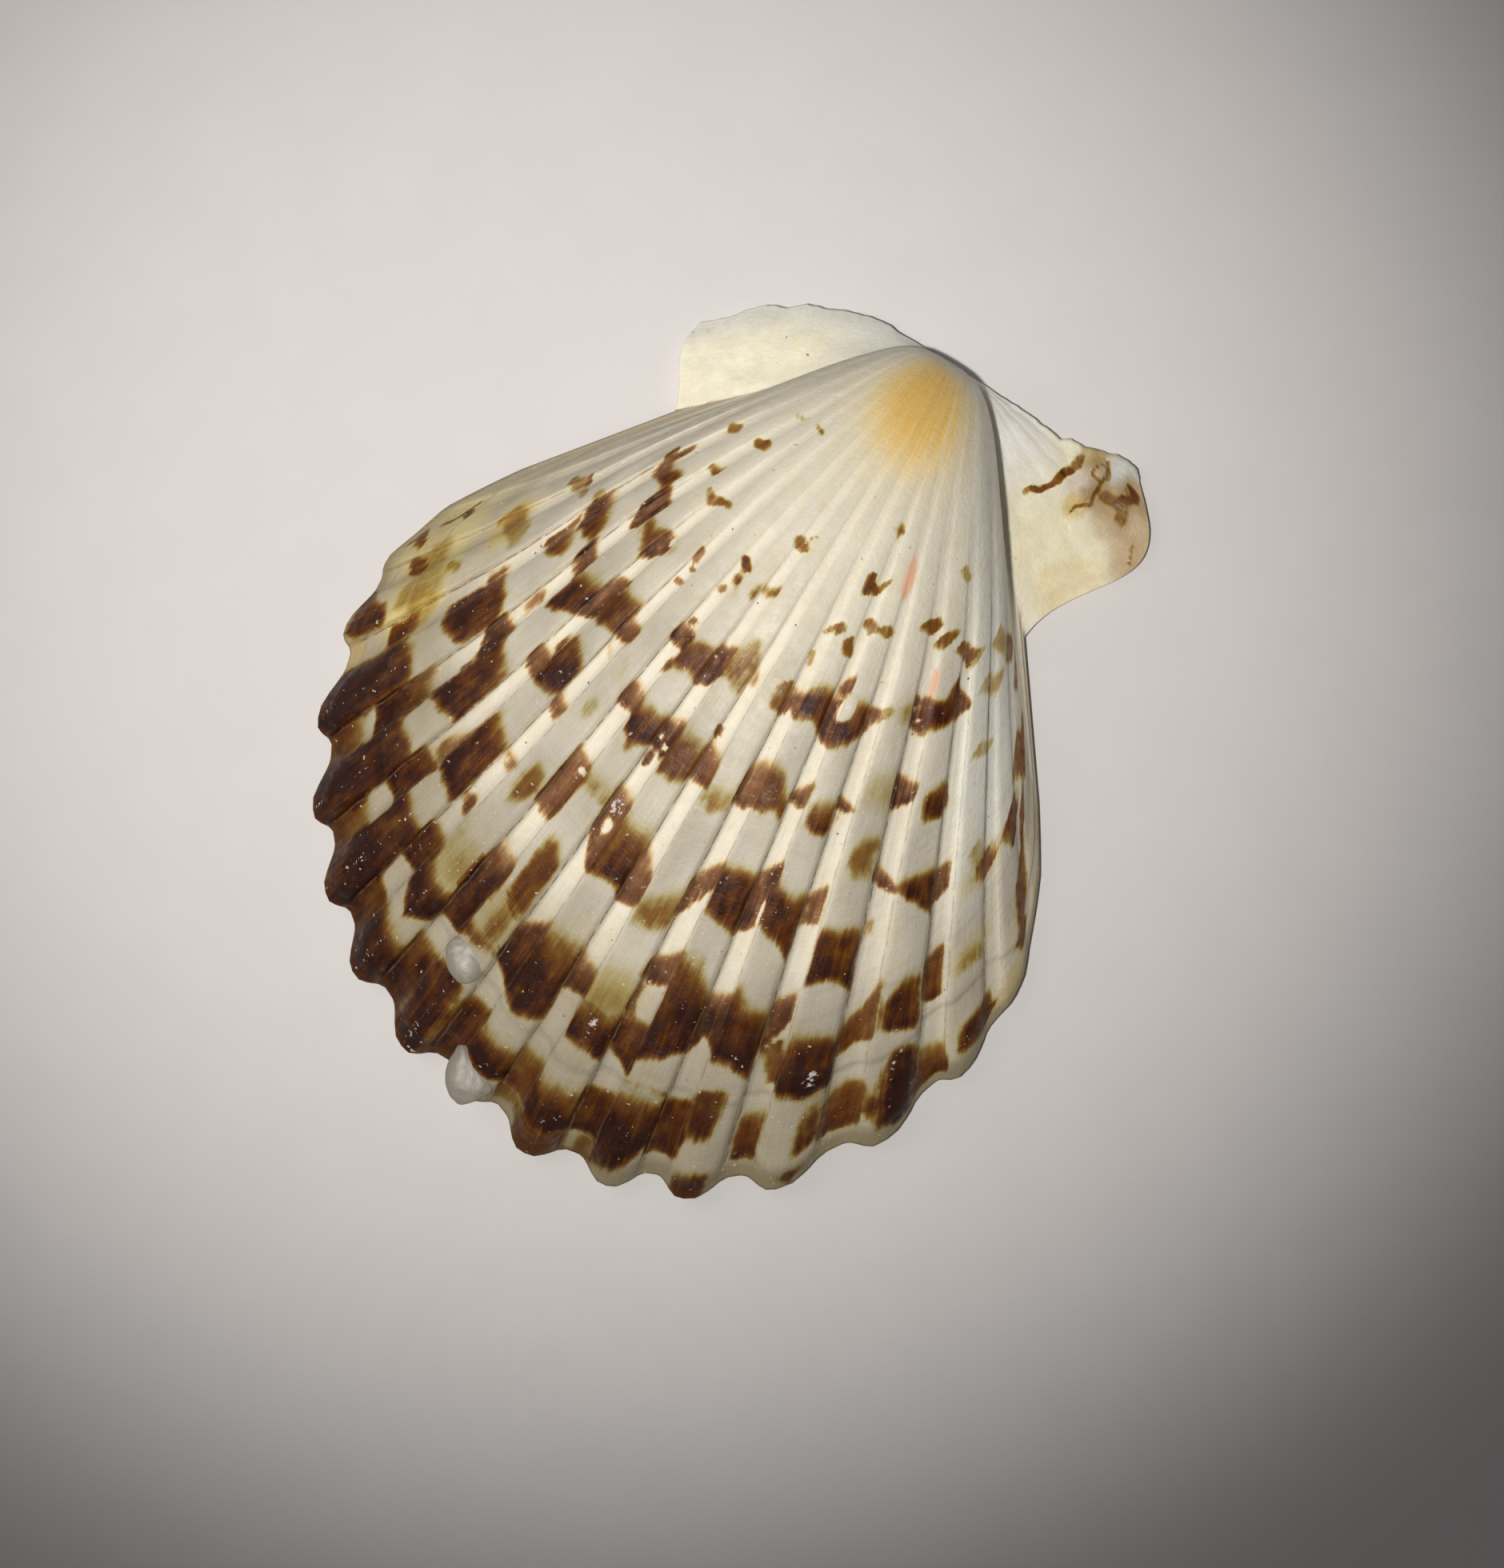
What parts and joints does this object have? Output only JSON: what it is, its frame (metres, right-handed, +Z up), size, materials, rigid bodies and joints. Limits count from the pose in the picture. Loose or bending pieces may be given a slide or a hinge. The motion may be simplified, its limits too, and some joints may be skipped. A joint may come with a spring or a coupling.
{
  "type": "scallop shell",
  "caption": "Single worn scallop valve with radiating rounded ribs, scalloped edge, growth steps and two unequal ears, hollow side down.",
  "frame": {"origin": "centre of the footprint, on the surface the shell rests on", "axes": "+Z up through the domed outer face, +Y from the front edge towards the hinge, +X towards the larger ear"},
  "size_m": [0.0422, 0.0502, 0.0126],
  "materials": {
    "shell": "worn satin shell, cream with brown patches"
  },
  "bodies": {
    "root": {"valve": "shell"}
  },
  "joints": []
}
